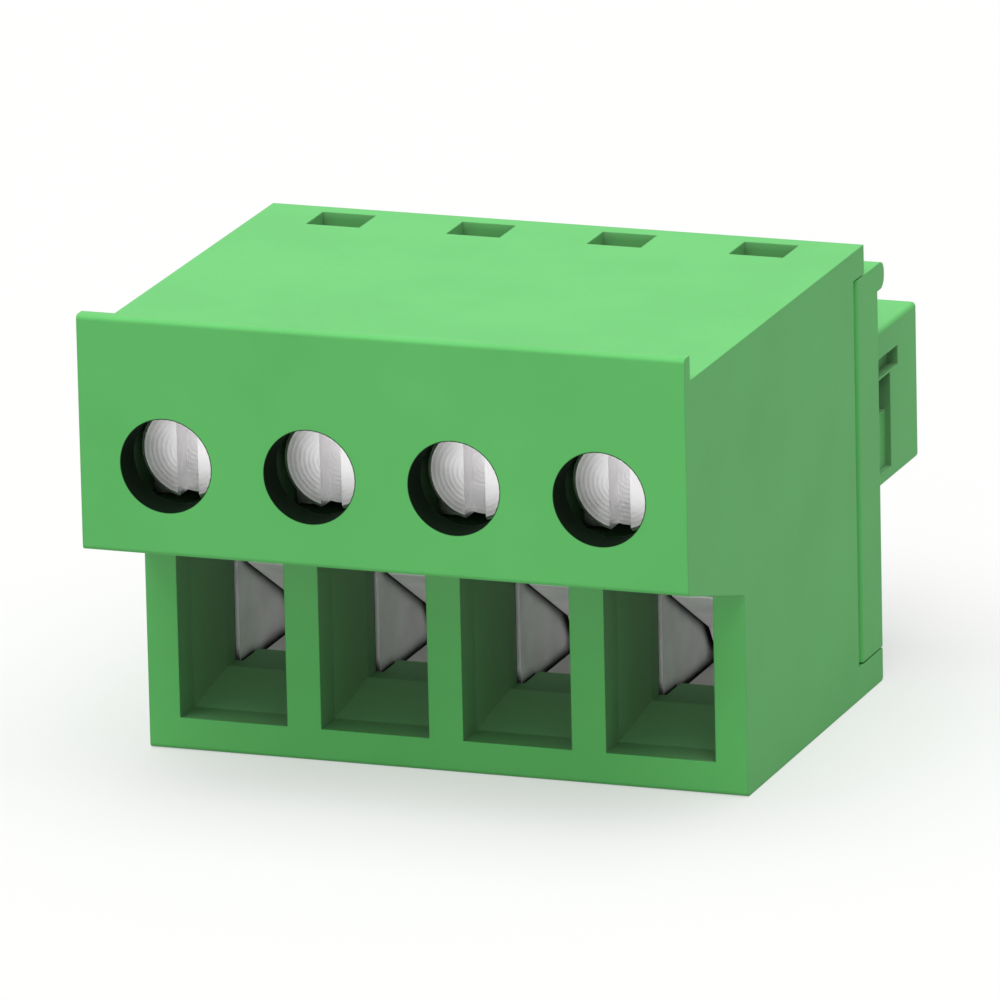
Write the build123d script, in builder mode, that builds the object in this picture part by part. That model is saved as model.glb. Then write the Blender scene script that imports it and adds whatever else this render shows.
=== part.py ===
from build123d import *
import math
import os

os.makedirs("parts", exist_ok=True)

# All sizes are in millimetres. A depth runs back from the screw face, a height runs up from the underside.

# Row of poles
poles = 4
pitch = 3.81
end_margin = 0.38
total_width = poles * pitch + 2 * end_margin
pole_places = [(pole - (poles - 1) / 2) * pitch for pole in range(poles)]
rib_places = [(rib - (poles - 2) / 2) * pitch for rib in range(poles - 1)]

# Outline of the main housing, seen from the side
screw_height = 8.7
face_below_screw = 2.3
lip_height = 0.64
lip_depth = 0.4
roof_slab = 0.75
roof_tail = 0.71
wire_face_depth = 4.18
overhang_drop = 1.15
edge_radius = 0.12

# Chambers for the clamps
chamber_width = 3.0
front_wall = 0.9
driver_hole = 2.4
chamber_floor = 0.55
chamber_below_screw = 1.65

# Wire funnels
mouth_width = 2.9
mouth_bottom = 0.85
mouth_below_overhang = 0.1
mouth_land = 1.0
funnel_drop = 0.85
throat_width = 2.5
throat_depth = 7.65
throat_land = 0.55
throat_above_bar = 0.1
ledge_length = 1.1
ledge_gap = 0.1

# Latches between the two housings
window_width = 1.45
roof_window_ahead = 1.05
roof_window_length = 1.25
floor_window_inset = 0.3
floor_window_length = 0.75
tongue_inset = 0.2
tongue_thickness = 0.48
tongue_gap = 0.07
tongue_reach = 1.2
nose_rise = 0.4
latch_gap = 0.08
seam_gap = 0.06
seam_chamfer = 0.16
housing_fit = 0.05

# Rear housing: flange, pull ridge and the plug that enters the header
flange_length = 1.75
flange_wall = 1.0
ridge_reach = 0.55
ridge_height = 0.7
ridge_radius = 0.3
plug_length = 4.5
plug_side_inset = 0.45
plug_bottom = 4.7
plug_top = 8.85
plug_wall = 0.475
plug_end_wall = 0.6
socket_width = 2.3
pin_hole = 1.3
pin_lead_in = 0.35
coding_slot_width = 0.8
coding_slot_height = 0.8
coding_slot_end = 0.7

# Groove and notch in each side of the plug, where the header's end walls catch it
side_groove_back = 2.25
side_groove_bottom = 0.35
side_groove_below_top = 1.3
side_groove_sink = 0.15
side_pocket_height = 1.0
side_pocket_sink = 0.55
side_notch_gap = 0.05
side_notch_height = 0.5
side_notch_back = 2.9
side_notch_sink = 0.3

# Clamp frame, folded from sheet
sheet = 0.3
frame_fit = 0.05
slide_fit = 0.05
frame_back_inset = 0.15
frame_bend = 0.25
wire_window_gap = 0.1
floor_strip_inset = 0.4

# Clamp screw
head_side_gap = 0.25
head_length = 1.35
head_gap = 0.6
head_bearing = 0.03
slot_width = 0.56
slot_depth = 0.7
neck_diameter = 1.4
collar_diameter = 2.0
collar_length = 0.3
thread_core = 1.57
screw_end_inset = 0.55
screw_point = 0.25
turning_fit = 0.05
head_chamfer = 0.1

# Wedge nut
nut_ahead = 1.25
nut_length = 3.6
nut_above_screw = 1.3
nut_below_screw = 1.25

# Wedge face between nut and jaw: a T-shaped rail on the jaw runs in a slot of the nut
wedge_rise = 0.7
rail_neck = 0.9
rail_head = 1.5
rail_step = 0.4
rail_inset = 0.3

# Clamp jaw
jaw_length = 4.5
jaw_side_gap = 0.15
jaw_back_gap = 0.65
jaw_heel = 0.7
lead_in_below_throat = 0.4
jaw_flat = 1.15
nose_height = 0.84
nose_length = 0.55
nose_radius = 0.35
closed_gap = 0.15

# Contact, bent from strip
strip = 0.4
bar_side_gap = 0.2
bar_end_gap = 0.05
bend_radius = 0.35
tine_wall_gap = 0.2
pin_grip = 0.6
tine_root_reach = 0.3
tine_touch_inset = 0.9
tine_end_inset = 0.3
tine_flare = 0.3
tine_end_width = 1.3
grip_grooves = 4
grip_groove_spacing = 0.3
grip_groove_sink = 0.08

# Depths worked out from the sizes above
frame_step = throat_depth + frame_fit
jaw_front = frame_step + sheet + slide_fit
jaw_back = jaw_front + jaw_length
nose_start = jaw_back - jaw_flat - nose_length
nut_front = jaw_front - nut_ahead
nut_back = nut_front + nut_length
riser_depth = jaw_back + jaw_back_gap + strip / 2
seam_depth = riser_depth - strip / 2 - housing_fit
flange_depth = seam_depth + flange_length
plug_end = flange_depth + plug_length
front_y = -plug_end / 2
roof_depth = seam_depth + roof_tail
roof_window_front = seam_depth - roof_window_ahead
floor_window_front = flange_depth - floor_window_inset - floor_window_length
rear_front = seam_depth + seam_gap
wall_front = flange_depth - flange_wall
socket_end = plug_end - plug_end_wall
head_front = front_wall + head_gap
head_back = head_front + head_length
screw_end = seam_depth - screw_end_inset
frame_front = head_back + head_bearing
collar_front = frame_front + sheet + head_bearing
collar_back = collar_front + collar_length
frame_back = seam_depth - frame_back_inset
taper_front = wire_face_depth + mouth_land
taper_back = throat_depth - throat_land
bar_front = throat_depth + ledge_length + bar_end_gap
tine_root = flange_depth + tine_root_reach
tine_touch = socket_end - tine_touch_inset
tine_end = socket_end - tine_end_inset

# Heights worked out from the sizes above
frame_bottom = chamber_floor + frame_fit
bar_bottom = frame_bottom + sheet
bar_top = bar_bottom + strip
floor_thickness = bar_bottom - housing_fit
rear_bottom = floor_thickness + housing_fit
upper_floor = screw_height - chamber_below_screw
frame_arm_bottom = upper_floor + 2 * frame_fit
nut_top = screw_height + nut_above_screw
frame_top = nut_top + slide_fit + sheet
chamber_top = frame_top + 2 * frame_fit
tongue_bottom = chamber_top + tongue_gap
rear_top = tongue_bottom + tongue_thickness
slab_underside = rear_top + housing_fit
roof_height = slab_underside + roof_slab
face_top = roof_height + lip_height
face_bottom = screw_height - face_below_screw
overhang_root = face_bottom - overhang_drop
mouth_top = overhang_root - mouth_below_overhang
throat_top = mouth_top - funnel_drop
throat_bottom = bar_top + throat_above_bar
lead_in_top = throat_top - lead_in_below_throat
jaw_bottom = bar_top + closed_gap
wedge_back = jaw_bottom + jaw_heel
wedge_top = wedge_back + wedge_rise * jaw_length
pin_height = (plug_bottom + plug_top) / 2
socket_height = plug_top - plug_bottom - 2 * plug_wall
tine_spread = socket_height / 2 - tine_wall_gap - strip / 2

# Widths worked out from the sizes above
plug_width = total_width - 2 * plug_side_inset
tongue_width = chamber_width - 2 * tongue_inset
head_diameter = chamber_width - 2 * head_side_gap
frame_width = chamber_width - 2 * frame_fit
frame_inner = frame_width - 2 * sheet
ledge_width = frame_inner - 2 * ledge_gap
nut_width = frame_inner - 2 * slide_fit
jaw_width = frame_inner - 2 * jaw_side_gap
bar_width = frame_inner - 2 * bar_side_gap


def side(x=0.0):
    """Plane seen from the side at x: local axes are depth and height."""
    return Plane((x, front_y, 0), x_dir=(0, 1, 0), z_dir=(1, 0, 0))


def facing(depth, x=0.0, height=0.0):
    """Plane parallel to the screw face at a depth, with x and height as its local axes."""
    return Plane((x, front_y + depth, height), x_dir=(1, 0, 0), z_dir=(0, -1, 0))


def wedge_height(depth):
    """Height of the jaw's wedge face at a depth."""
    return wedge_top - wedge_rise * (depth - jaw_front)


# Main housing: screw face over a recessed wire face, four chambers open to the back
with BuildPart() as main_housing:
    with BuildSketch(side()):
        with BuildLine():
            Polyline(
                (0, face_bottom),
                (0, face_top),
                (lip_depth, face_top),
                (lip_depth, roof_height),
                (roof_depth, roof_height),
                (roof_depth, slab_underside),
                (seam_depth, slab_underside),
                (seam_depth, floor_thickness),
                (flange_depth, floor_thickness),
                (flange_depth, 0),
                (wire_face_depth, 0),
                (wire_face_depth, overhang_root),
                close=True,
            )
        make_face()
    extrude(amount=total_width / 2, both=True)
    seam_edges = main_housing.edges().filter_by(Axis.Z).filter_by_position(
        Axis.Y, front_y + seam_depth - housing_fit, front_y + seam_depth + housing_fit
    )
    chamfer(seam_edges, seam_chamfer)
    fillet(main_housing.edges().filter_by(Axis.X).group_by(Axis.Y)[0], edge_radius)
    fillet(main_housing.edges().filter_by(Axis.X).group_by(Axis.Z)[0], edge_radius)

    for x in pole_places:
        # Chamber for the clamp frame, L-shaped from the side
        with BuildSketch(side(x)):
            with BuildLine():
                Polyline(
                    (front_wall, upper_floor),
                    (front_wall, chamber_top),
                    (seam_depth, chamber_top),
                    (seam_depth, chamber_floor),
                    (throat_depth, chamber_floor),
                    (throat_depth, upper_floor),
                    close=True,
                )
            make_face()
        extrude(amount=chamber_width / 2, both=True, mode=Mode.SUBTRACT)

        # Recess under the roof for the latch tongue of the rear housing
        with BuildSketch(side(x)):
            with Locations((seam_depth, chamber_top)):
                Rectangle(
                    tongue_reach + 2 * latch_gap,
                    slab_underside - chamber_top,
                    align=(Align.MAX, Align.MIN),
                )
        extrude(amount=tongue_width / 2 + latch_gap, both=True, mode=Mode.SUBTRACT)

        # Wire funnel: a straight mouth, a taper and a straight throat
        mouth_middle = (mouth_bottom + mouth_top) / 2
        throat_middle = (throat_bottom + throat_top) / 2
        with BuildSketch(facing(wire_face_depth, x, mouth_middle)):
            Rectangle(mouth_width, mouth_top - mouth_bottom)
        extrude(amount=-mouth_land, mode=Mode.SUBTRACT)
        with BuildSketch(facing(taper_front, x, mouth_middle)):
            Rectangle(mouth_width, mouth_top - mouth_bottom)
        with BuildSketch(facing(taper_back, x, throat_middle)):
            Rectangle(throat_width, throat_top - throat_bottom)
        loft(mode=Mode.SUBTRACT)
        with BuildSketch(facing(taper_back, x, throat_middle)):
            Rectangle(throat_width, throat_top - throat_bottom)
        extrude(amount=-throat_land, mode=Mode.SUBTRACT)

        # Plastic ledge that carries the front of the contact bar between the frame's cheeks
        with BuildSketch(side(x)):
            with Locations((throat_depth, chamber_floor)):
                Rectangle(ledge_length, throat_bottom - chamber_floor, align=(Align.MIN, Align.MIN))
        extrude(amount=ledge_width / 2, both=True)

        # Driver hole over the screw head
        with BuildSketch(facing(0, x, screw_height)):
            Circle(driver_hole / 2)
        extrude(amount=-front_wall, mode=Mode.SUBTRACT)

        # Latch windows in the roof and in the floor's tail
        with BuildSketch(side(x)):
            with Locations((roof_window_front, slab_underside)):
                Rectangle(roof_window_length, roof_slab, align=(Align.MIN, Align.MIN))
            with Locations((floor_window_front, 0)):
                Rectangle(floor_window_length, floor_thickness, align=(Align.MIN, Align.MIN))
        extrude(amount=window_width / 2, both=True, mode=Mode.SUBTRACT)
main_housing.part.label = "main_housing"
export_step(main_housing.part, "parts/main_housing.step")

# Rear housing: flange behind the seam, latch tongues, pull ridge and the hollow plug
with BuildPart() as rear_housing:
    with BuildSketch(side()):
        with Locations((rear_front, rear_bottom)):
            Rectangle(flange_depth - rear_front, rear_top - rear_bottom, align=(Align.MIN, Align.MIN))
        with Locations((flange_depth, rear_top)):
            Rectangle(ridge_reach, ridge_height, align=(Align.MIN, Align.MAX))
    extrude(amount=total_width / 2, both=True)
    ridge_edges = rear_housing.edges().filter_by(Axis.X).group_by(Axis.Y)[-1]
    fillet(ridge_edges, ridge_radius)
    front_outline = rear_housing.faces().sort_by(Axis.Y)[0].edges().filter_by(Axis.Z)
    chamfer(front_outline, seam_chamfer)

    # Plug that enters the header
    with BuildSketch(facing(plug_end, 0, pin_height)):
        RectangleRounded(plug_width, plug_top - plug_bottom, edge_radius)
    extrude(amount=plug_end - flange_depth)
    fillet(rear_housing.faces().sort_by(Axis.Y)[-1].outer_wire().edges(), edge_radius)

    for x in pole_places:
        # Pocket in front of the back wall, open at the bottom for the contact's riser
        with BuildSketch(side(x)):
            with Locations((rear_front, rear_bottom)):
                Rectangle(wall_front - rear_front, tongue_bottom - rear_bottom, align=(Align.MIN, Align.MIN))
        extrude(amount=chamber_width / 2, both=True, mode=Mode.SUBTRACT)

        # Socket chamber and the pin hole with its square lead-in
        with BuildSketch(facing(wall_front, x, pin_height)):
            Rectangle(socket_width, socket_height)
        extrude(amount=-(socket_end - wall_front), mode=Mode.SUBTRACT)
        with BuildSketch(facing(plug_end, x, pin_height)):
            Rectangle(pin_hole, pin_hole)
        extrude(amount=plug_end_wall, mode=Mode.SUBTRACT)
        with BuildSketch(facing(plug_end, x, pin_height)):
            Rectangle(pin_hole + 2 * pin_lead_in, pin_hole + 2 * pin_lead_in)
        extrude(amount=pin_lead_in, taper=45, mode=Mode.SUBTRACT)

        # Tongue under the roof with its ramped nose in the window
        nose_back = roof_window_front + roof_window_length - latch_gap
        nose_front = roof_window_front + latch_gap
        with BuildSketch(side(x)):
            with Locations((rear_front, rear_top)):
                Rectangle(tongue_reach, tongue_thickness, align=(Align.MAX, Align.MAX))
        extrude(amount=tongue_width / 2, both=True)
        with BuildSketch(side(x)):
            with BuildLine():
                Polyline(
                    (nose_front, rear_top),
                    ((nose_front + nose_back) / 2, rear_top + nose_rise),
                    (nose_back, rear_top + nose_rise),
                    (nose_back, rear_top - tongue_thickness / 2),
                    (nose_front, rear_top - tongue_thickness / 2),
                    close=True,
                )
            make_face()
        extrude(amount=window_width / 2 - latch_gap, both=True)

        # Nose under the flange, caught by the window in the floor's tail
        tail_front = floor_window_front + latch_gap
        tail_back = floor_window_front + floor_window_length - latch_gap
        with BuildSketch(side(x)):
            with BuildLine():
                Polyline(
                    (tail_front, rear_bottom),
                    (tail_front, rear_bottom + nose_rise),
                    (tail_back, rear_bottom + nose_rise),
                    (tail_back, rear_bottom - nose_rise),
                    ((tail_front + tail_back) / 2, rear_bottom - nose_rise),
                    close=True,
                )
            make_face()
        extrude(amount=window_width / 2 - latch_gap, both=True)

    # Coding slots between the poles, along the underside of the plug
    for x in rib_places:
        with BuildSketch(side(x)):
            with Locations((plug_end, plug_bottom)):
                Rectangle(
                    plug_length - coding_slot_end,
                    coding_slot_height,
                    align=(Align.MAX, Align.MIN),
                )
        extrude(amount=coding_slot_width / 2, both=True, mode=Mode.SUBTRACT)

    # Groove, pocket and notch in both sides of the plug
    groove_bottom = plug_bottom + side_groove_bottom
    groove_top = plug_top - side_groove_below_top
    side_cuts = [
        (side_groove_back, groove_bottom, groove_top - groove_bottom, side_groove_sink),
        (side_groove_back, groove_top - side_pocket_height, side_pocket_height, side_pocket_sink),
        (side_notch_back, groove_top + side_notch_gap, side_notch_height, side_notch_sink),
    ]
    for hand in (-1, 1):
        for length, bottom, height, sink in side_cuts:
            with BuildSketch(side(hand * (plug_width / 2 - sink))):
                with Locations((flange_depth, bottom)):
                    Rectangle(length, height, align=(Align.MIN, Align.MIN))
            extrude(amount=hand * sink, mode=Mode.SUBTRACT)
rear_housing.part.label = "rear_housing"
export_step(rear_housing.part, "parts/rear_housing.step")


def make_clamp_frame(x):
    """Sheet frame: two L-shaped cheeks with front wall, cross wall, top strap and floor strip."""
    with BuildPart() as frame:
        with BuildSketch(side(x)):
            with BuildLine():
                Polyline(
                    (frame_front, frame_arm_bottom),
                    (frame_front, frame_top),
                    (frame_back, frame_top),
                    (frame_back, frame_bottom),
                    (frame_step, frame_bottom),
                    (frame_step, frame_arm_bottom),
                    close=True,
                )
            make_face()
        extrude(amount=frame_width / 2, both=True)
        folds = frame.edges().filter_by(Axis.Y).group_by(Axis.Z)
        fillet(folds[-1] + folds[0], frame_bend)

        # Room between the cheeks
        inner_front = frame_front + sheet
        floor_strip_front = bar_front + floor_strip_inset
        floor_strip_back = frame_back - floor_strip_inset
        with BuildSketch(side(x)):
            with BuildLine():
                Polyline(
                    (inner_front, 0),
                    (inner_front, frame_top - sheet),
                    (frame_back, frame_top - sheet),
                    (frame_back, frame_bottom),
                    (floor_strip_back, frame_bottom),
                    (floor_strip_back, bar_bottom),
                    (floor_strip_front, bar_bottom),
                    (floor_strip_front, 0),
                    close=True,
                )
            make_face()
            # The cross wall behind the throat stays, over the wire window
            with Locations((frame_step, frame_arm_bottom)):
                Rectangle(
                    sheet,
                    frame_arm_bottom - throat_top - wire_window_gap,
                    align=(Align.MIN, Align.MAX),
                    mode=Mode.SUBTRACT,
                )
        extrude(amount=frame_inner / 2, both=True, mode=Mode.SUBTRACT)

        # Slot that the screw's neck slides up into
        with BuildSketch(facing(frame_front, x, screw_height)):
            Circle(neck_diameter / 2 + turning_fit)
            Rectangle(
                neck_diameter + 2 * turning_fit,
                screw_height - frame_arm_bottom,
                align=(Align.CENTER, Align.MAX),
            )
        extrude(amount=-sheet, mode=Mode.SUBTRACT)
    return frame.part


def make_clamp_screw(x):
    """Slotted screw with a neck for the frame's slot; the thread is shown at its core diameter."""
    axis_line = Axis((x, front_y, screw_height), (0, 1, 0))
    head_radius = head_diameter / 2
    core_radius = thread_core / 2
    with BuildPart() as screw:
        with BuildSketch(side(x)):
            with BuildLine():
                Polyline(
                    (head_front, screw_height),
                    (head_front, screw_height + head_radius - head_chamfer),
                    (head_front + head_chamfer, screw_height + head_radius),
                    (head_back, screw_height + head_radius),
                    (head_back, screw_height + neck_diameter / 2),
                    (collar_front, screw_height + neck_diameter / 2),
                    (collar_front, screw_height + collar_diameter / 2),
                    (collar_back, screw_height + collar_diameter / 2),
                    (collar_back, screw_height + core_radius),
                    (screw_end - screw_point, screw_height + core_radius),
                    (screw_end, screw_height + core_radius - screw_point),
                    (screw_end, screw_height),
                    close=True,
                )
            make_face()
        revolve(axis=axis_line)
        with BuildSketch(facing(head_front, x, screw_height)):
            Rectangle(slot_width, 2 * head_diameter)
        extrude(amount=-slot_depth, mode=Mode.SUBTRACT)
    return screw.part


def make_wedge_nut(x):
    """Nut block on the screw with a wedge tail and the T-slot for the jaw's rail."""
    tail_front = jaw_front + slide_fit
    with BuildPart() as nut:
        with BuildSketch(side(x)):
            with BuildLine():
                Polyline(
                    (nut_front, nut_top),
                    (nut_back, nut_top),
                    (nut_back, wedge_height(nut_back) + slide_fit),
                    (tail_front, wedge_height(tail_front) + slide_fit),
                    (tail_front, screw_height - nut_below_screw),
                    (nut_front, screw_height - nut_below_screw),
                    close=True,
                )
            make_face()
        extrude(amount=nut_width / 2, both=True)
        with BuildSketch(facing(nut_front, x, screw_height)):
            Circle(thread_core / 2 + turning_fit)
        extrude(amount=-nut_length, mode=Mode.SUBTRACT)
        bands = [
            (0, rail_step + slide_fit, rail_neck),
            (rail_step, 2 * rail_step + 2 * slide_fit, rail_head),
        ]
        for low, high, width in bands:
            with BuildSketch(side(x)):
                with BuildLine():
                    Polyline(
                        (tail_front, wedge_height(tail_front) + low),
                        (tail_front, wedge_height(tail_front) + high),
                        (nut_back, wedge_height(nut_back) + high),
                        (nut_back, wedge_height(nut_back) + low),
                        close=True,
                    )
                make_face()
            extrude(amount=width / 2 + slide_fit, both=True, mode=Mode.SUBTRACT)
    return nut.part


def make_clamp_jaw(x):
    """Pressure piece: sloped lead-in below, rounded nose, wedge face and T-rail on top."""
    with BuildPart() as jaw:
        with BuildSketch(side(x)) as profile:
            with BuildLine():
                Polyline(
                    (jaw_front, lead_in_top),
                    (nose_start, jaw_bottom + nose_height),
                    (nose_start + nose_length, jaw_bottom),
                    (jaw_back, jaw_bottom),
                    (jaw_back, wedge_back),
                    (jaw_front, wedge_top),
                    close=True,
                )
            make_face()
            nose_corner = profile.vertices().group_by(Axis.Y)[0].sort_by(Axis.X)[0]
            fillet(nose_corner, nose_radius)
        extrude(amount=jaw_width / 2, both=True)
        rail_front = jaw_front + rail_inset
        rail_back = jaw_back - rail_inset
        bands = [(-rail_step, rail_step, rail_neck), (rail_step, 2 * rail_step, rail_head)]
        for low, high, width in bands:
            with BuildSketch(side(x)):
                with BuildLine():
                    Polyline(
                        (rail_front, wedge_height(rail_front) + low),
                        (rail_front, wedge_height(rail_front) + high),
                        (rail_back, wedge_height(rail_back) + high),
                        (rail_back, wedge_height(rail_back) + low),
                        close=True,
                    )
                make_face()
            extrude(amount=width / 2, both=True)
    return jaw.part


def make_contact(x):
    """Contact strip: clamping bar, riser and two spring tines around the pin height."""
    bar_middle = bar_top - strip / 2
    touch = pin_grip / 2 + strip / 2
    with BuildPart() as contact:
        with BuildSketch(side(x)):
            with BuildLine():
                FilletPolyline(
                    (bar_front, bar_middle),
                    (riser_depth, bar_middle),
                    (riser_depth, pin_height + tine_spread),
                    (tine_root, pin_height + tine_spread),
                    (tine_touch, pin_height + touch),
                    (tine_end, pin_height + touch + tine_flare),
                    radius=bend_radius,
                )
            trace(line_width=strip)
            with BuildLine():
                FilletPolyline(
                    (riser_depth, pin_height - tine_spread),
                    (tine_root, pin_height - tine_spread),
                    (tine_touch, pin_height - touch),
                    (tine_end, pin_height - touch - tine_flare),
                    radius=bend_radius,
                )
            trace(line_width=strip)
        extrude(amount=bar_width / 2, both=True)

        # Tines taper towards their ends
        for hand in (-1, 1):
            with BuildSketch(Plane.XY.offset(pin_height)):
                with BuildLine():
                    Polyline(
                        (x + hand * bar_width / 2, front_y + tine_root),
                        (x + hand * tine_end_width / 2, front_y + plug_end),
                        (x + hand * bar_width, front_y + plug_end),
                        (x + hand * bar_width, front_y + tine_root),
                        close=True,
                    )
                make_face()
            extrude(amount=2 * tine_spread, both=True, mode=Mode.SUBTRACT)

        # Grip grooves across the bar, under the jaw's flat end
        groove_row = jaw_back - grip_groove_spacing
        for groove in range(grip_grooves):
            with BuildSketch(side(x)):
                with Locations((groove_row - groove * grip_groove_spacing, bar_top)):
                    Rectangle(
                        grip_groove_sink * math.sqrt(2),
                        grip_groove_sink * math.sqrt(2),
                        rotation=45,
                    )
            extrude(amount=bar_width / 2, both=True, mode=Mode.SUBTRACT)
    return contact.part


# One clamp in each chamber
makers = {
    "clamp_frame": make_clamp_frame,
    "clamp_screw": make_clamp_screw,
    "wedge_nut": make_wedge_nut,
    "clamp_jaw": make_clamp_jaw,
    "contact": make_contact,
}
for number, place in enumerate(pole_places, start=1):
    for name, maker in makers.items():
        piece = maker(place)
        piece.label = f"{name}_{number}"
        export_step(piece, f"parts/{name}_{number}.step")
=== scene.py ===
import math

import bpy
from mathutils import Matrix, Vector


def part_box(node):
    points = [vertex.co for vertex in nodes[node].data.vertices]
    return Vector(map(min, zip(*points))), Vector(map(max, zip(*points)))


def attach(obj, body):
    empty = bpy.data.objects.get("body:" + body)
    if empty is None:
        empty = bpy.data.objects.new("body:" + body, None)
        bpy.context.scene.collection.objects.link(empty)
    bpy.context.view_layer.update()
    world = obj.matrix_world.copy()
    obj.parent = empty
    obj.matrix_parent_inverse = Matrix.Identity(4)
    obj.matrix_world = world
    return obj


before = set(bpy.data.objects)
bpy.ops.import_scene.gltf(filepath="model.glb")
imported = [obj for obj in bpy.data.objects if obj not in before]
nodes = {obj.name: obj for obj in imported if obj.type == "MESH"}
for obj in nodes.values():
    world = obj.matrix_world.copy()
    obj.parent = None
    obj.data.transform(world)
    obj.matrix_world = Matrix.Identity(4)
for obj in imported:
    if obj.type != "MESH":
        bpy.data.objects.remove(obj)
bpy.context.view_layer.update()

MM = 0.001

# Poles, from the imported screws: the row runs along X and the screws point along Y
POLES = 4
SCREW_BOXES = [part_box(f"clamp_screw_{number}") for number in range(1, POLES + 1)]
POLE_PLACES = [(low.x + high.x) / 2 for low, high in SCREW_BOXES]
PITCH = (POLE_PLACES[-1] - POLE_PLACES[0]) / (POLES - 1)
SCREW_HEIGHT = (SCREW_BOXES[0][0].z + SCREW_BOXES[0][1].z) / 2
SCREW_END = SCREW_BOXES[0][1].y
HOUSING_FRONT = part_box("main_housing")[0].y

# Screw thread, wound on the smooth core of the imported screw, from just behind its collar
CORE_RADIUS = 0.785 * MM
CREST_RADIUS = 0.98 * MM
ROOT_SINK = 0.04 * MM
THREAD_PITCH = 0.4 * MM
THREAD_BEHIND_FACE = 3.55 * MM
THREAD_SHORT_OF_END = 0.3 * MM
THREAD_START = HOUSING_FRONT + THREAD_BEHIND_FACE
THREAD_END = SCREW_END - THREAD_SHORT_OF_END
STEPS_PER_TURN = 28

# V section of the ridge, as shares of the pitch: wide at its root, with a narrow land at its crest
RIDGE_ROOT_SHARE = 0.92
RIDGE_LAND_SHARE = 0.14

# Camera of the photograph, aimed from the front lower edge of the part; lens and sensor in millimetres
VIEW_AZIMUTH = math.radians(20.155)
VIEW_ELEVATION = math.radians(15.827)
VIEW_ROLL = math.radians(-1.283)
VIEW_DISTANCE = 363 * MM
VIEW_RIGHT = 2.7485 * MM
VIEW_UP = 7.947 * MM
LENS = 524.8
SENSOR = 36
NEAREST_SEEN = 10 * MM

# Finishes: linear colours, pairs of lowest and highest value, and scales in repeats per metre
RAMP_ENDS = (0.3, 0.7)
TRACED_RAYS = 6

# Moulded plastic
MOULDED_GREEN = (0.135, 0.555, 0.153)
GREEN_SHADES = (0.96, 1.04)
PLASTIC_ROUGHNESS = (0.38, 0.52)
PLASTIC_IOR = 1.5
PLASTIC_GLOSS = 0.1
CLOUD_SCALE = 260.0
GRAIN_SCALE = 9000.0
GRAIN_RELIEF = 0.35
GRAIN_DEPTH = 0.004 * MM
EDGE_ROUNDING = 0.05 * MM

# Painted shade in the plastic's recesses: grey-green where they are closed in, plain green where they are
# open
RECESS_SHADE_GREEN = (0.19, 0.36, 0.19)
RECESS_REACH = 5.0 * MM
RECESS_CLOSED = 0.2
RECESS_OPEN = 0.9

# Painted shade on the walls of the plastic's driver holes, near black, by radius from the screw's axis and
# by depth behind the screw face
HOLE_SHADE_GREEN = (0.003, 0.012, 0.004)
HOLE_RADIUS = 1.2 * MM
HOLE_SLACK = 0.01 * MM
HOLE_EDGE = 0.03 * MM
HOLE_DEPTH = 1.0 * MM

# Zinc plate on the screws
ZINC_PLATE = (0.96, 0.94, 0.95)
ZINC_SHADES = (0.93, 1.05)
ZINC_ROUGHNESS = (0.36, 0.48)
BLOOM_SCALE = 1800.0
RING_SCALE = 2600.0
RING_RELIEF = 0.25
RING_DEPTH = 0.003 * MM

# Rolled metals: name, colour, roughness, squeeze of the lines along X, Y and Z, and their depth
ROLLED_METALS = {
    "clamp_frame": ("nickel_sheet", (0.97, 0.96, 0.96), (0.82, 0.96), (24, 2, 24), 0.003 * MM),
    "clamp_jaw": ("nickel_jaw", (0.97, 0.96, 0.96), (0.82, 0.96), (9, 9, 9), 0.004 * MM),
    "wedge_nut": ("machined_brass", (0.80, 0.62, 0.32), (0.22, 0.36), (4, 30, 4), 0.003 * MM),
    "contact": ("tinned_strip", (0.90, 0.89, 0.87), (0.44, 0.58), (20, 2.5, 8), 0.003 * MM),
}
METAL_SHADES = (0.92, 1.04)
LINE_SCALE = 1000.0
LINE_RELIEF = 0.3
STAIN_SCALE = 900.0

# Painted shade in crevices, where a metal lies close to its neighbour
CREVICE_SHADE_TONE = (0.02, 0.02, 0.02)
CREVICE_REACH = 0.4 * MM
CREVICE_CLOSED = 0.4
CREVICE_OPEN = 0.72

# Floor: it lies a hair under the part, so that their faces don't meet
PAPER_TONE = (0.85, 0.85, 0.84)
PAPER_SHADES = (0.997, 1.003)
PAPER_ROUGHNESS = 0.9
PAPER_SCALE = 6.0
BOUNCE_TONE = (0.38, 0.38, 0.37)
SHADOW_LIFT = 0.5
FLOOR_HALF = 2.0
FLOOR_DROP = 0.01 * MM

# Studio light, with each lamp turned from shining straight down
WORLD_LIGHT = 0.352
OVERHEAD_LIGHT = 2.62
OVERHEAD_SPREAD = math.radians(70)
OVERHEAD_TILT = (math.radians(11), 0, 0)
FRONT_LIGHT = 0.63
FRONT_SPREAD = math.radians(10)
FRONT_TILT = (math.radians(86), 0, math.radians(7))


def add(tree, kind, inputs=None, **settings):
    """A node of a kind, with its settings and with values for its named inputs."""
    node = tree.nodes.new(kind)
    for name, value in settings.items():
        setattr(node, name, value)
    for name, value in (inputs or {}).items():
        node.inputs[name].default_value = value
    return node


def join(tree, source, output, target, socket):
    """Link one node's output to another node's input."""
    tree.links.new(source.outputs[output], target.inputs[socket])


def start_material(name, metallic=0.0):
    """An empty finish with its Principled shader, and the object coordinates that its patterns read."""
    material = bpy.data.materials.new(name)
    material.use_nodes = True
    tree = material.node_tree
    shader = tree.nodes["Principled BSDF"]
    shader.inputs["Metallic"].default_value = metallic
    coordinates = add(tree, "ShaderNodeTexCoord")
    return material, tree, shader, coordinates


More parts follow.
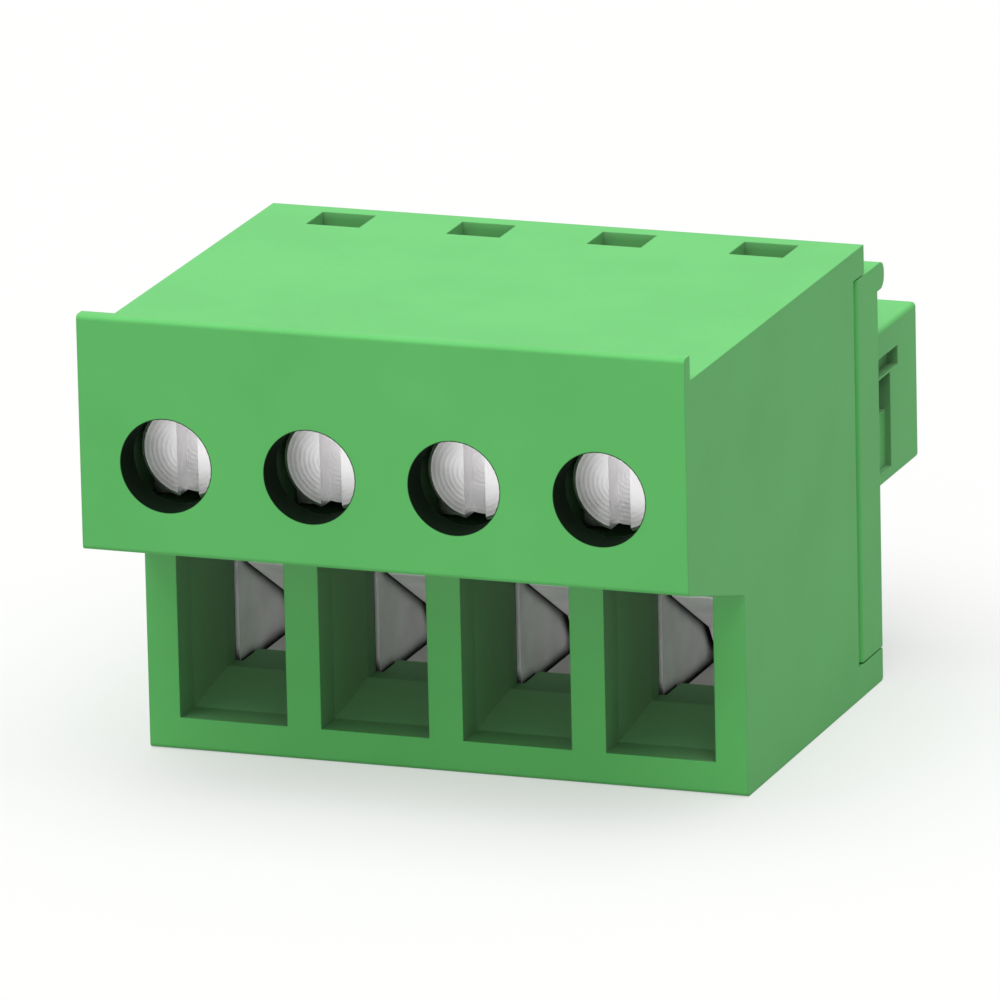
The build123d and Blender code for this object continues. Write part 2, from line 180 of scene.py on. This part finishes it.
def noise(tree, source, output, scale, detail, roughness=0.5):
    """A noise pattern, laid out by another node's output."""
    pattern = add(tree, "ShaderNodeTexNoise", {"Scale": scale, "Detail": detail, "Roughness": roughness})
    join(tree, source, output, pattern, "Vector")
    return pattern


def shade_between(tree, pattern, colour, shades):
    """A colour that a pattern varies between two shades of it."""
    ramp = add(tree, "ShaderNodeValToRGB")
    for end, position, shade in zip(ramp.color_ramp.elements, RAMP_ENDS, shades):
        end.position = position
        end.color = (*(min(1.0, channel * shade) for channel in colour), 1)
    join(tree, pattern, "Fac", ramp, "Fac")
    return ramp


def vary_roughness(tree, pattern, ends):
    """A roughness that a pattern varies between two values."""
    spread = add(tree, "ShaderNodeMapRange", {"To Min": ends[0], "To Max": ends[1]})
    join(tree, pattern, "Fac", spread, "Value")
    return spread


def blend_colours(tree, share, output, plain, patterned):
    """A plain colour where a share is nothing, and another node's colour where the share is full."""
    blend = add(tree, "ShaderNodeMixRGB", {"Color1": (*plain, 1)})
    join(tree, share, output, blend, "Fac")
    join(tree, patterned, "Color", blend, "Color2")
    return blend


def raise_relief(tree, pattern, strength, depth):
    """A bump that follows a pattern."""
    relief = add(tree, "ShaderNodeBump", {"Strength": strength, "Distance": depth})
    join(tree, pattern, "Fac", relief, "Height")
    return relief


def from_screw_axis(tree, coordinates):
    """Where a point lies from the axis of its own pole's screw, across and up."""
    split = add(tree, "ShaderNodeSeparateXYZ")
    join(tree, coordinates, "Object", split, "Vector")
    first = POLE_PLACES[0] - PITCH / 2
    across = add(tree, "ShaderNodeMath", {1: first + PITCH, 2: first}, operation="WRAP")
    join(tree, split, "X", across, 0)
    offset = add(tree, "ShaderNodeMath", {1: POLE_PLACES[0]}, operation="SUBTRACT")
    join(tree, across, "Value", offset, 0)
    above = add(tree, "ShaderNodeMath", {1: SCREW_HEIGHT}, operation="SUBTRACT")
    join(tree, split, "Z", above, 0)
    from_axis = add(tree, "ShaderNodeCombineXYZ")
    join(tree, offset, "Value", from_axis, "X")
    join(tree, above, "Value", from_axis, "Y")
    return from_axis, split


def paint_recess_shade(tree, colour):
    """Painted shade: let a colour fall to a darker grey-green inside the wire funnels, where the plastic is
    closed in.
    """
    openness = add(
        tree, "ShaderNodeAmbientOcclusion", {"Distance": RECESS_REACH}, samples=TRACED_RAYS, only_local=True
    )
    share = add(tree, "ShaderNodeMapRange", {"From Min": RECESS_CLOSED, "From Max": RECESS_OPEN})
    join(tree, openness, "AO", share, "Value")
    return blend_colours(tree, share, "Result", RECESS_SHADE_GREEN, colour)


def outside_driver_holes(tree, coordinates):
    """A mask for the painted shade: nothing on the walls of the driver holes, and one everywhere else."""
    from_axis, split = from_screw_axis(tree, coordinates)
    radius = add(tree, "ShaderNodeVectorMath", operation="LENGTH")
    join(tree, from_axis, "Vector", radius, 0)
    outside = add(
        tree,
        "ShaderNodeMapRange",
        {"From Min": HOLE_RADIUS + HOLE_SLACK, "From Max": HOLE_RADIUS + HOLE_EDGE},
    )
    join(tree, radius, "Value", outside, "Value")
    bottom = HOUSING_FRONT + HOLE_DEPTH
    behind = add(tree, "ShaderNodeMapRange", {"From Min": bottom, "From Max": bottom + HOLE_EDGE})
    join(tree, split, "Y", behind, "Value")
    share = add(tree, "ShaderNodeMath", operation="MAXIMUM")
    join(tree, outside, "Result", share, 0)
    join(tree, behind, "Result", share, 1)
    return share


def moulded_plastic():
    """Satin polyamide from a spark-eroded mould: fine grain, faint flow clouds, softly rounded edges, and
    painted shade in the wire funnels and on the driver holes' walls.
    """
    material, tree, shader, coordinates = start_material("moulded_green")
    shader.inputs["IOR"].default_value = PLASTIC_IOR
    shader.inputs["Specular IOR Level"].default_value = PLASTIC_GLOSS
    outside = outside_driver_holes(tree, coordinates)

    clouds = noise(tree, coordinates, "Object", CLOUD_SCALE, detail=3.0, roughness=0.55)
    green = shade_between(tree, clouds, MOULDED_GREEN, GREEN_SHADES)
    # Painted shade: grey-green where the plastic is closed in, as inside the wire funnels
    recess_shaded = paint_recess_shade(tree, green)
    # Painted shade: near black on the walls of the driver holes
    finished = blend_colours(tree, outside, "Value", HOLE_SHADE_GREEN, recess_shaded)
    join(tree, finished, "Color", shader, "Base Color")

    # The driver holes are fully dull, so that their walls stay dark from every side
    grain = noise(tree, coordinates, "Object", GRAIN_SCALE, detail=4.0, roughness=0.6)
    satin = vary_roughness(tree, grain, PLASTIC_ROUGHNESS)
    dull_hole = add(tree, "ShaderNodeMath", {0: 1.0}, operation="SUBTRACT")
    join(tree, outside, "Value", dull_hole, 1)
    dullest = add(tree, "ShaderNodeMath", operation="MAXIMUM")
    join(tree, satin, "Result", dullest, 0)
    join(tree, dull_hole, "Value", dullest, 1)
    join(tree, dullest, "Value", shader, "Roughness")

    rounding = add(tree, "ShaderNodeBevel", {"Radius": EDGE_ROUNDING}, samples=TRACED_RAYS)
    relief = raise_relief(tree, grain, GRAIN_RELIEF, GRAIN_DEPTH)
    join(tree, rounding, "Normal", relief, "Normal")
    join(tree, relief, "Normal", shader, "Normal")
    return material


def turned_zinc():
    """Bright zinc plating over turned steel: fine rings round each screw's own axis."""
    material, tree, shader, coordinates = start_material("turned_zinc", metallic=1.0)
    bloom = noise(tree, coordinates, "Object", BLOOM_SCALE, detail=3.0, roughness=0.6)
    plated = shade_between(tree, bloom, ZINC_PLATE, ZINC_SHADES)
    join(tree, plated, "Color", shader, "Base Color")
    satin = vary_roughness(tree, bloom, ZINC_ROUGHNESS)
    join(tree, satin, "Result", shader, "Roughness")

    from_axis, _ = from_screw_axis(tree, coordinates)
    rings = add(
        tree,
        "ShaderNodeTexWave",
        {"Scale": RING_SCALE, "Distortion": 0.6, "Detail": 2.0, "Detail Scale": 1.4},
        wave_type="RINGS",
        rings_direction="Z",
    )
    join(tree, from_axis, "Vector", rings, "Vector")
    relief = raise_relief(tree, rings, RING_RELIEF, RING_DEPTH)
    join(tree, relief, "Normal", shader, "Normal")
    return material


def paint_crevice_shade(tree, colour):
    """Painted shade: let a metal darken where it lies close against its neighbour."""
    openness = add(tree, "ShaderNodeAmbientOcclusion", {"Distance": CREVICE_REACH}, samples=TRACED_RAYS)
    share = add(tree, "ShaderNodeMapRange", {"From Min": CREVICE_CLOSED, "From Max": CREVICE_OPEN})
    join(tree, openness, "AO", share, "Value")
    return blend_colours(tree, share, "Result", CREVICE_SHADE_TONE, colour)


def rolled_metal(name, colour, roughness, squeeze, depth):
    """Sheet or strip metal: drawn-out rolling lines, with a soft change of shade between them."""
    material, tree, shader, coordinates = start_material(name, metallic=1.0)
    stains = noise(tree, coordinates, "Object", STAIN_SCALE, detail=2.0)
    plated = shade_between(tree, stains, colour, METAL_SHADES)
    # Painted shade, darker where the metal lies close against its neighbour
    shaded = paint_crevice_shade(tree, plated)
    join(tree, shaded, "Color", shader, "Base Color")

    along = add(tree, "ShaderNodeMapping", {"Scale": squeeze})
    join(tree, coordinates, "Object", along, "Vector")
    lines = noise(tree, along, "Vector", LINE_SCALE, detail=5.0, roughness=0.62)
    satin = vary_roughness(tree, lines, roughness)
    join(tree, satin, "Result", shader, "Roughness")
    relief = raise_relief(tree, lines, LINE_RELIEF, depth)
    join(tree, relief, "Normal", shader, "Normal")
    return material


def dress(node_names, material):
    """Give CAD nodes their finish."""
    for name in node_names:
        for slot in nodes[name].material_slots:
            slot.material = material


def each_pole(name):
    """The names of one piece in all four poles."""
    return [f"{name}_{number}" for number in range(1, POLES + 1)]


def thread_tree(material):
    """Geometry Nodes that wind a ridge of V section round a core, from named sizes."""
    tree = bpy.data.node_groups.new("wound_thread", "GeometryNodeTree")
    kinds = {
        "Core radius": "NodeSocketFloat",
        "Crest radius": "NodeSocketFloat",
        "Root sink": "NodeSocketFloat",
        "Pitch": "NodeSocketFloat",
        "Length": "NodeSocketFloat",
        "Place": "NodeSocketVector",
    }
    sockets = {}
    for name, kind in kinds.items():
        socket = tree.interface.new_socket(name, in_out="INPUT", socket_type=kind)
        sockets[name] = socket.identifier
    tree.interface.new_socket("Geometry", in_out="OUTPUT", socket_type="NodeSocketGeometry")
    given = add(tree, "NodeGroupInput")
    result = add(tree, "NodeGroupOutput")

    # Helix, half way between the ridge's root and its crest
    turns = add(tree, "ShaderNodeMath", operation="DIVIDE")
    join(tree, given, "Length", turns, 0)
    join(tree, given, "Pitch", turns, 1)
    root = add(tree, "ShaderNodeMath", operation="SUBTRACT")
    join(tree, given, "Core radius", root, 0)
    join(tree, given, "Root sink", root, 1)
    middle = add(tree, "ShaderNodeMath", {1: 0.5}, operation="MULTIPLY_ADD")
    depth = add(tree, "ShaderNodeMath", operation="SUBTRACT")
    join(tree, given, "Crest radius", depth, 0)
    join(tree, root, "Value", depth, 1)
    join(tree, depth, "Value", middle, 0)
    join(tree, root, "Value", middle, 2)
    helix = add(tree, "GeometryNodeCurveSpiral", {"Resolution": STEPS_PER_TURN})
    join(tree, turns, "Value", helix, "Rotations")
    join(tree, middle, "Value", helix, "Start Radius")
    join(tree, middle, "Value", helix, "End Radius")
    join(tree, given, "Length", helix, "Height")
    upright = add(tree, "GeometryNodeSetCurveNormal", mode="Z_UP")
    join(tree, helix, "Curve", upright, "Curve")

    # V section, turned so that its crest points away from the axis
    section = add(tree, "GeometryNodeCurvePrimitiveQuadrilateral", {"Offset": 0.0}, mode="TRAPEZOID")
    base = add(tree, "ShaderNodeMath", {1: RIDGE_ROOT_SHARE}, operation="MULTIPLY")
    join(tree, given, "Pitch", base, 0)
    land = add(tree, "ShaderNodeMath", {1: RIDGE_LAND_SHARE}, operation="MULTIPLY")
    join(tree, given, "Pitch", land, 0)
    join(tree, base, "Value", section, "Bottom Width")
    join(tree, land, "Value", section, "Top Width")
    join(tree, depth, "Value", section, "Height")
    outward = add(tree, "GeometryNodeTransform", {"Rotation": (0, 0, math.pi / 2)})
    join(tree, section, "Curve", outward, "Geometry")
    ridge = add(tree, "GeometryNodeCurveToMesh", {"Fill Caps": True})
    join(tree, upright, "Curve", ridge, "Curve")
    join(tree, outward, "Geometry", ridge, "Profile Curve")

    # Lay the helix along the screw's axis, from the thread's start towards the screw's end
    laid = add(tree, "GeometryNodeTransform", {"Rotation": (-math.pi / 2, 0, 0)})
    join(tree, ridge, "Mesh", laid, "Geometry")
    join(tree, given, "Place", laid, "Translation")
    real = add(tree, "GeometryNodeRealizeInstances")
    join(tree, laid, "Geometry", real, "Geometry")
    finished = add(tree, "GeometryNodeSetMaterial", {"Material": material})
    join(tree, real, "Geometry", finished, "Geometry")
    join(tree, finished, "Geometry", result, "Geometry")
    return tree, sockets


def wind_threads(material):
    """One thread on each clamp screw, made by the tree and kept as a plain mesh."""
    tree, sockets = thread_tree(material)
    for number, place in enumerate(POLE_PLACES, start=1):
        holder = bpy.data.objects.new(f"thread_holder_{number}", bpy.data.meshes.new("empty"))
        bpy.context.scene.collection.objects.link(holder)
        modifier = holder.modifiers.new("thread", "NODES")
        modifier.node_group = tree
        values = {
            "Core radius": CORE_RADIUS,
            "Crest radius": CREST_RADIUS,
            "Root sink": ROOT_SINK,
            "Pitch": THREAD_PITCH,
            "Length": THREAD_END - THREAD_START,
            "Place": (place, THREAD_START, SCREW_HEIGHT),
        }
        for name, value in values.items():
            modifier[sockets[name]] = value
        evaluated = holder.evaluated_get(bpy.context.evaluated_depsgraph_get())
        mesh = bpy.data.meshes.new_from_object(evaluated)
        bpy.data.objects.remove(holder)
        thread = bpy.data.objects.new(f"screw_thread_{number}", mesh)
        bpy.context.scene.collection.objects.link(thread)
        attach(thread, f"screw_{number}")


def seen_rays(tree):
    """One for rays from the camera or from a mirror or glass, nothing for rays of light."""
    path = add(tree, "ShaderNodeLightPath")
    direct = add(tree, "ShaderNodeMath", operation="MAXIMUM")
    join(tree, path, "Is Camera Ray", direct, 0)
    join(tree, path, "Is Glossy Ray", direct, 1)
    seen = add(tree, "ShaderNodeMath", operation="MAXIMUM")
    join(tree, direct, "Value", seen, 0)
    join(tree, path, "Is Transmission Ray", seen, 1)
    return seen


def pale_floor():
    """A plain pale floor under the part, which keeps its shadow."""
    mesh = bpy.data.meshes.new("floor")
    sides = [(-1, -1), (1, -1), (1, 1), (-1, 1)]
    corners = [(x * FLOOR_HALF, y * FLOOR_HALF, -FLOOR_DROP) for x, y in sides]
    mesh.from_pydata(corners, [], [(0, 1, 2, 3)])
    floor = bpy.data.objects.new("floor", mesh)
    bpy.context.scene.collection.objects.link(floor)
    material, tree, shader, coordinates = start_material("pale_floor")
    shader.inputs["Roughness"].default_value = PAPER_ROUGHNESS
    shader.inputs["Specular IOR Level"].default_value = 0.0
    paper = noise(tree, coordinates, "Object", PAPER_SCALE, detail=2.0)
    white = shade_between(tree, paper, PAPER_TONE, PAPER_SHADES)

    # Seen white, with a light shadow, while the light that it throws back stays low
    seen = seen_rays(tree)
    tone = blend_colours(tree, seen, "Value", BOUNCE_TONE, white)
    join(tree, tone, "Color", shader, "Base Color")
    lift = add(tree, "ShaderNodeMath", {1: SHADOW_LIFT}, operation="MULTIPLY")
    join(tree, seen, "Value", lift, 0)
    glow = add(tree, "ShaderNodeEmission", {"Color": (1, 1, 1, 1), "Strength": 1.0})
    lifted = add(tree, "ShaderNodeMixShader")
    join(tree, lift, "Value", lifted, "Fac")
    join(tree, shader, "BSDF", lifted, 1)
    join(tree, glow, "Emission", lifted, 2)
    join(tree, lifted, "Shader", tree.nodes["Material Output"], "Surface")
    mesh.materials.append(material)


def studio_light():
    """Even light from all round, a wide one overhead for the roof and a low one for the driver holes."""
    world = bpy.data.worlds.new("studio")
    world.use_nodes = True
    bpy.context.scene.world = world
    tree = world.node_tree
    surround = tree.nodes["Background"]
    surround.inputs["Color"].default_value = (1, 1, 1, 1)
    surround.inputs["Strength"].default_value = WORLD_LIGHT
    backdrop = add(tree, "ShaderNodeBackground", {"Color": (1, 1, 1, 1), "Strength": 1.0})
    choice = add(tree, "ShaderNodeMixShader")
    join(tree, seen_rays(tree), "Value", choice, "Fac")
    join(tree, surround, "Background", choice, 1)
    join(tree, backdrop, "Background", choice, 2)
    join(tree, choice, "Shader", tree.nodes["World Output"], "Surface")

    lamps = {
        "overhead": (OVERHEAD_LIGHT, OVERHEAD_SPREAD, OVERHEAD_TILT),
        "front": (FRONT_LIGHT, FRONT_SPREAD, FRONT_TILT),
    }
    for name, (strength, spread, tilt) in lamps.items():
        lamp = bpy.data.lights.new(name, "SUN")
        lamp.energy = strength
        lamp.angle = spread
        holder = bpy.data.objects.new(name, lamp)
        holder.rotation_euler = tilt
        bpy.context.scene.collection.objects.link(holder)


def photo_camera():
    """The camera where the photograph was taken from."""
    back = Vector((
        math.sin(VIEW_AZIMUTH) * math.cos(VIEW_ELEVATION),
        -math.cos(VIEW_AZIMUTH) * math.cos(VIEW_ELEVATION),
        math.sin(VIEW_ELEVATION),
    ))
    level = Vector((math.cos(VIEW_AZIMUTH), math.sin(VIEW_AZIMUTH), 0))
    upward = back.cross(level)
    right = level * math.cos(VIEW_ROLL) + upward * math.sin(VIEW_ROLL)
    up = upward * math.cos(VIEW_ROLL) - level * math.sin(VIEW_ROLL)
    aim = Vector((0, HOUSING_FRONT, 0))
    place = aim + right * VIEW_RIGHT + up * VIEW_UP + back * VIEW_DISTANCE
    lens = bpy.data.cameras.new("photo_camera")
    lens.lens = LENS
    lens.sensor_width = SENSOR
    lens.clip_start = NEAREST_SEEN
    camera = bpy.data.objects.new("photo_camera", lens)
    turn = Matrix((right, up, back)).transposed()
    camera.matrix_world = Matrix.Translation(place) @ turn.to_4x4()
    bpy.context.scene.collection.objects.link(camera)
    bpy.context.scene.camera = camera


photo_camera()
studio_light()
pale_floor()

dress(["main_housing", "rear_housing"], moulded_plastic())
zinc = turned_zinc()
dress(each_pole("clamp_screw"), zinc)
for piece, finish in ROLLED_METALS.items():
    dress(each_pole(piece), rolled_metal(*finish))
wind_threads(zinc)

bpy.context.scene.view_settings.view_transform = "Standard"
